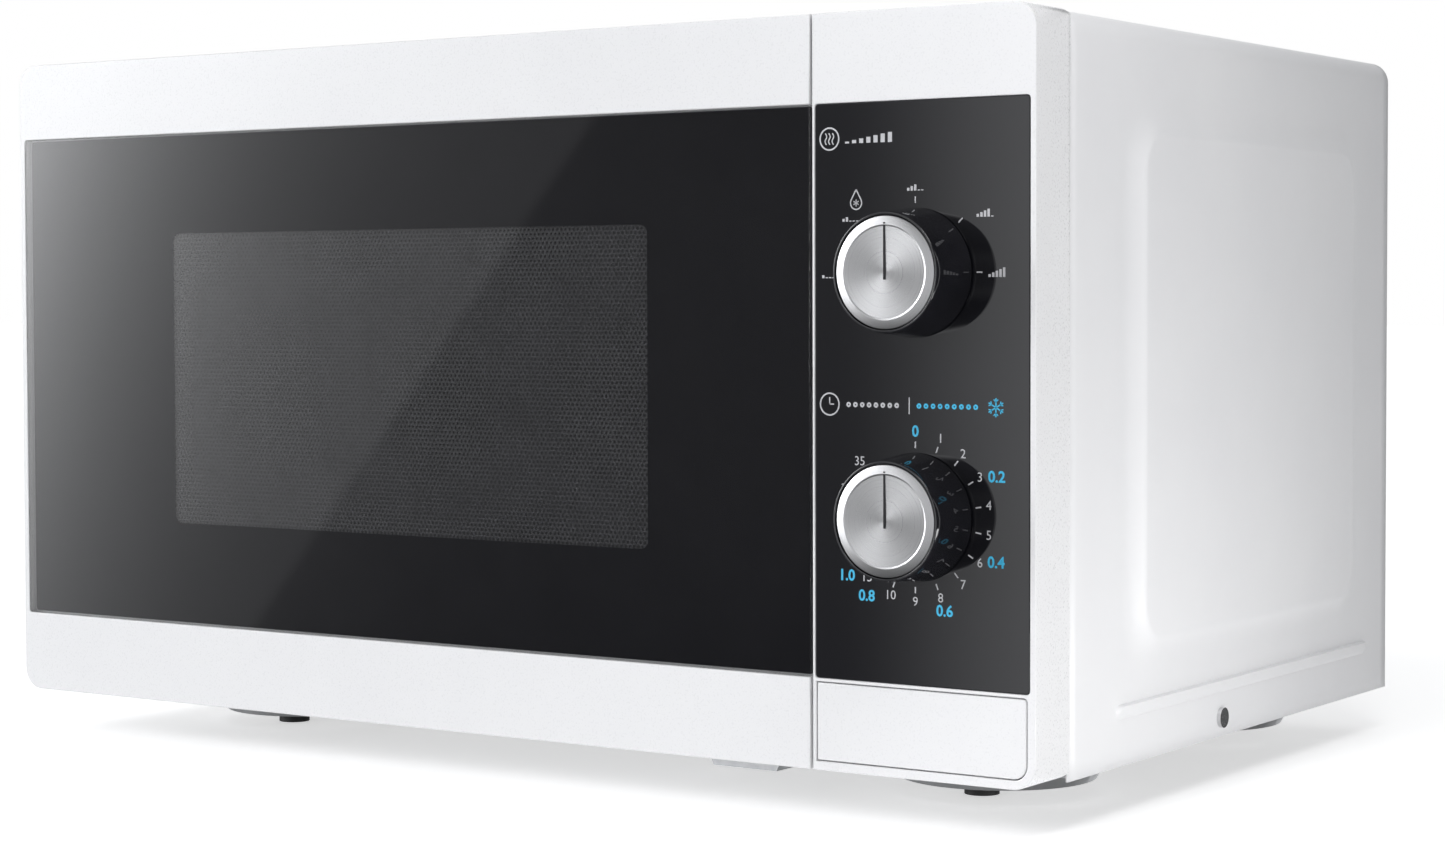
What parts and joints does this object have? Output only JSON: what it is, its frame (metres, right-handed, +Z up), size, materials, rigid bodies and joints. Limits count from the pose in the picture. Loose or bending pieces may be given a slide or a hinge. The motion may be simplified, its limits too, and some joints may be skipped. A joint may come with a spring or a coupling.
{
  "type": "microwave oven",
  "caption": "Countertop microwave oven: side-hinged glass door, turn dials for power and time, push-button latch, glass turntable on a roller ring.",
  "frame": {"origin": "on the ground, in the middle of the box round the whole oven", "axes": "+X to the right of the front, +Y from the front to the back, +Z up"},
  "size_m": [0.44, 0.344, 0.258],
  "materials": {
    "white_paint": "satin",
    "white_plastic": "satin",
    "zinc_steel": "satin",
    "oven_enamel": "satin",
    "black_glass": "gloss",
    "door_glass": "gloss",
    "clear_glass": "gloss",
    "clear_film": "gloss",
    "screen_steel": "matte",
    "black_plastic": "gloss",
    "dark_plastic": "matte",
    "silver_cap": "brushed",
    "bright_steel": "polished",
    "black_rubber": "matte",
    "ivory_plastic": "matte",
    "white_moulding": "matte",
    "mica": "matte",
    "copper_wire": "lacquered",
    "ceramic_pink": "matte",
    "iron_core": "varnished",
    "aluminium_can": "satin",
    "green_board": "satin"
  },
  "bodies": {
    "cabinet": {"wrap_cover": "white_paint", "base_plate": "zinc_steel", "rear_panel": "zinc_steel", "foot_pads": "black_rubber", "cover_screws": "bright_steel", "cord_bush": "dark_plastic", "front_plate": "white_paint", "cavity_box": "oven_enamel", "waveguide": "zinc_steel", "mica_cover": "mica", "magnetron_yoke": "zinc_steel", "magnetron_tube": "ceramic_pink", "magnetron_fins": "aluminium_can", "magnetron_filter_box": "zinc_steel", "transformer_core": "iron_core", "transformer_windings": "copper_wire", "hv_capacitor": "aluminium_can", "hv_diode": "dark_plastic", "fan_shroud": "dark_plastic", "fan_motor": "iron_core", "filter_board": "green_board", "thermal_cutout": "ivory_plastic", "lamp_holder": "ivory_plastic", "lamp_bulb": "clear_glass", "turntable_motor": "zinc_steel", "control_bezel": "white_plastic", "control_glass": "black_glass", "timer_unit": "ivory_plastic", "timer_bell": "bright_steel", "power_selector": "ivory_plastic", "lever_pin": "bright_steel", "lever_spring": "bright_steel", "latch_bracket": "ivory_plastic", "door_switches": "dark_plastic", "door_hinges": "zinc_steel"},
    "door": {"door_frame": "white_plastic", "door_glass": "door_glass", "door_chassis": "white_paint", "door_screen": "screen_steel", "door_film": "clear_film", "choke_cover": "dark_plastic", "latch_spring": "bright_steel"},
    "latch_bar": {"latch_bar": "ivory_plastic"},
    "door_button": {"door_button": "white_plastic"},
    "button_lever": {"button_lever": "ivory_plastic"},
    "power_dial": {"power_knob": "black_plastic", "power_cap": "silver_cap", "power_shaft": "bright_steel"},
    "timer_dial": {"timer_knob": "black_plastic", "timer_cap": "silver_cap", "timer_shaft": "bright_steel"},
    "turntable": {"glass_tray": "clear_glass", "turntable_coupler": "white_moulding", "turntable_shaft": "white_moulding"},
    "roller_ring": {"roller_ring": "white_moulding"},
    "roller_a": {"roller_a": "white_moulding"},
    "roller_b": {"roller_b": "white_moulding"},
    "roller_c": {"roller_c": "white_moulding"},
    "fan_rotor": {"fan_blade": "white_moulding", "fan_shaft": "bright_steel"}
  },
  "joints": [
    {"name": "door_swing", "type": "hinge", "parent": "cabinet", "child": "door", "pos_m": [-0.209, -0.1392, 0.138], "axis": [0, 0, -1], "range_deg": [0, 100]},
    {"name": "latch_lift", "type": "slide", "parent": "door", "child": "latch_bar", "axis": [0, 0, 1], "range_m": [0, 0.0028]},
    {"name": "button_push", "type": "slide", "parent": "cabinet", "child": "door_button", "axis": [0, 1, 0], "range_m": [0, 0.004], "stiffness_N_per_m": 500, "springref_m": -0.002},
    {"name": "lever_tilt", "type": "hinge", "parent": "cabinet", "child": "button_lever", "pos_m": [0.146, -0.114, 0.048], "axis": [1, 0, 0], "range_deg": [0, 15]},
    {"name": "power_turn", "type": "hinge", "parent": "cabinet", "child": "power_dial", "pos_m": [0.178, -0.16, 0.176], "axis": [0, 1, 0], "range_deg": [-90, 90]},
    {"name": "timer_turn", "type": "hinge", "parent": "cabinet", "child": "timer_dial", "pos_m": [0.178, -0.16, 0.1], "axis": [0, 1, 0], "range_deg": [0, 310]},
    {"name": "turntable_spin", "type": "hinge", "parent": "cabinet", "child": "turntable", "pos_m": [-0.04, 0.022, 0.05], "axis": [0, 0, 1], "continuous": true},
    {"name": "ring_spin", "type": "hinge", "parent": "cabinet", "child": "roller_ring", "pos_m": [-0.04, 0.022, 0.0443], "axis": [0, 0, 1], "continuous": true},
    {"name": "roller_a_spin", "type": "hinge", "parent": "roller_ring", "child": "roller_a", "pos_m": [0.0513, 0.022, 0.0443], "axis": [1, 0, 0], "continuous": true},
    {"name": "roller_b_spin", "type": "hinge", "parent": "roller_ring", "child": "roller_b", "pos_m": [-0.08565, 0.10107, 0.0443], "axis": [-0.5, 0.866, 0], "continuous": true},
    {"name": "roller_c_spin", "type": "hinge", "parent": "roller_ring", "child": "roller_c", "pos_m": [-0.08565, -0.05707, 0.0443], "axis": [-0.5, -0.866, 0], "continuous": true},
    {"name": "fan_spin", "type": "hinge", "parent": "cabinet", "child": "fan_rotor", "pos_m": [0.165, 0.126, 0.151], "axis": [0, 1, 0], "continuous": true}
  ],
  "couplings": [
    {"joint": "latch_lift", "follows": "button_push", "ratio": 0.7},
    {"joint": "lever_tilt", "follows": "button_push", "rad_per_m": 65},
    {"joint": "ring_spin", "follows": "turntable_spin", "ratio": 0.5},
    {"joint": "roller_a_spin", "follows": "turntable_spin", "ratio": -6.5214},
    {"joint": "roller_b_spin", "follows": "turntable_spin", "ratio": -6.5214},
    {"joint": "roller_c_spin", "follows": "turntable_spin", "ratio": -6.5214}
  ]
}
